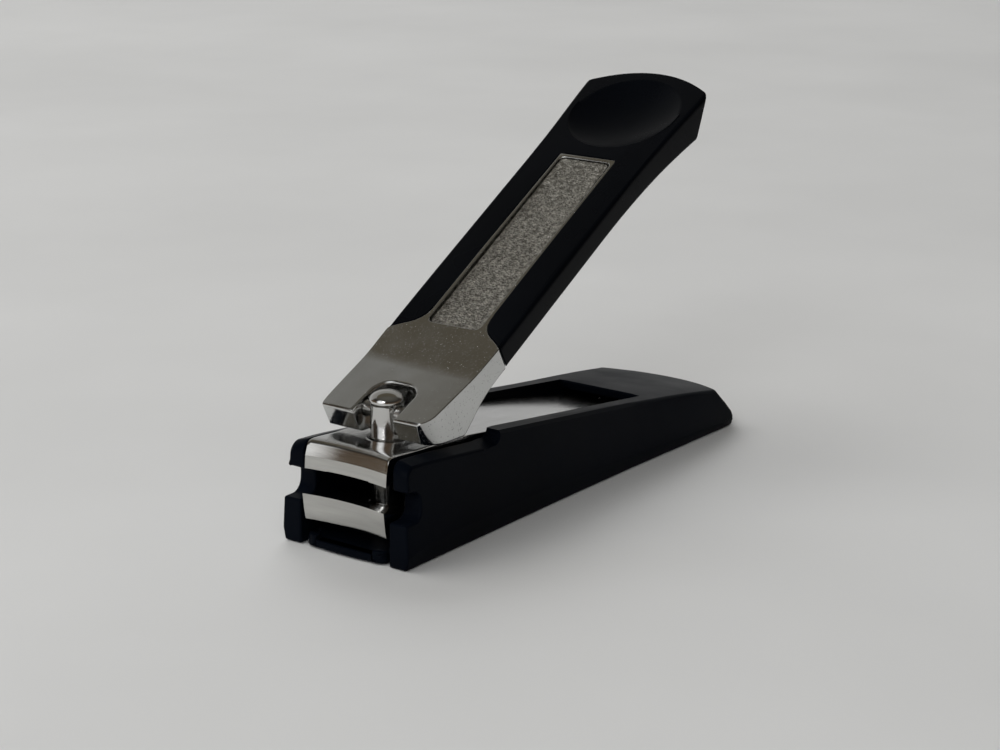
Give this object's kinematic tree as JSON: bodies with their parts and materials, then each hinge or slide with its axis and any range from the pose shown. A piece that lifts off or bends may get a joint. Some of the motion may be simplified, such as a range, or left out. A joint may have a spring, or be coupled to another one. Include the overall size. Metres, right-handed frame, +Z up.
{
  "type": "lever nail clipper",
  "caption": "Lever nail clipper with sprung steel jaws, a fold-over plastic-covered lever with a let-in nail file, and a slide-on plastic case that catches the clippings.",
  "frame": {"origin": "middle of the catcher case's flat base, half way along its length", "axes": "+X from the cutting jaws back to the riveted tail, +Z up from the base towards the lever, +Y completing the right-handed set"},
  "size_m": [0.0694, 0.0186, 0.0441],
  "materials": {
    "case_plastic": "satin",
    "cover_plastic": "satin",
    "blade_steel": "ground",
    "pin_steel": "satin",
    "chrome": "polished",
    "file_grit": "grit"
  },
  "bodies": {
    "case": {"catcher_case": "case_plastic"},
    "blade_frame": {"upper_blade": "blade_steel", "tail_rivet_1": "pin_steel", "tail_rivet_2": "pin_steel"},
    "lower_arm": {"lower_blade": "blade_steel"},
    "post": {"post_pin": "chrome"},
    "lever_hinge": {"lever_axle": "pin_steel"},
    "lever": {"lever_core": "chrome", "lever_cover": "cover_plastic", "nail_file": "file_grit"}
  },
  "joints": [
    {"name": "case_slide", "type": "slide", "parent": "case", "child": "blade_frame", "axis": [-1, 0, 0], "range_m": [0, 0.008]},
    {"name": "lower_blade_flex", "type": "hinge", "parent": "blade_frame", "child": "lower_arm", "pos_m": [0.0185, 0, 0.00372], "axis": [0, 1, 0], "range_deg": [0, 2.6]},
    {"name": "post_swivel", "type": "hinge", "parent": "lower_arm", "child": "post", "pos_m": [-0.02715, 0, 0], "axis": [0, 0, 1], "continuous": true},
    {"name": "lever_flip", "type": "hinge", "parent": "post", "child": "lever_hinge", "pos_m": [-0.02715, 0, 0.0142], "axis": [0, -1, 0], "range_deg": [0, 157]},
    {"name": "lever_press", "type": "hinge", "parent": "lever_hinge", "child": "lever", "pos_m": [-0.02715, 0, 0.0142], "axis": [0, 1, 0], "range_deg": [0, 33], "stiffness_Nm_per_rad": 0.0034, "springref_deg": -23.26}
  ],
  "couplings": [
    {"joint": "lower_blade_flex", "follows": "lever_press", "ratio": 0.078}
  ]
}
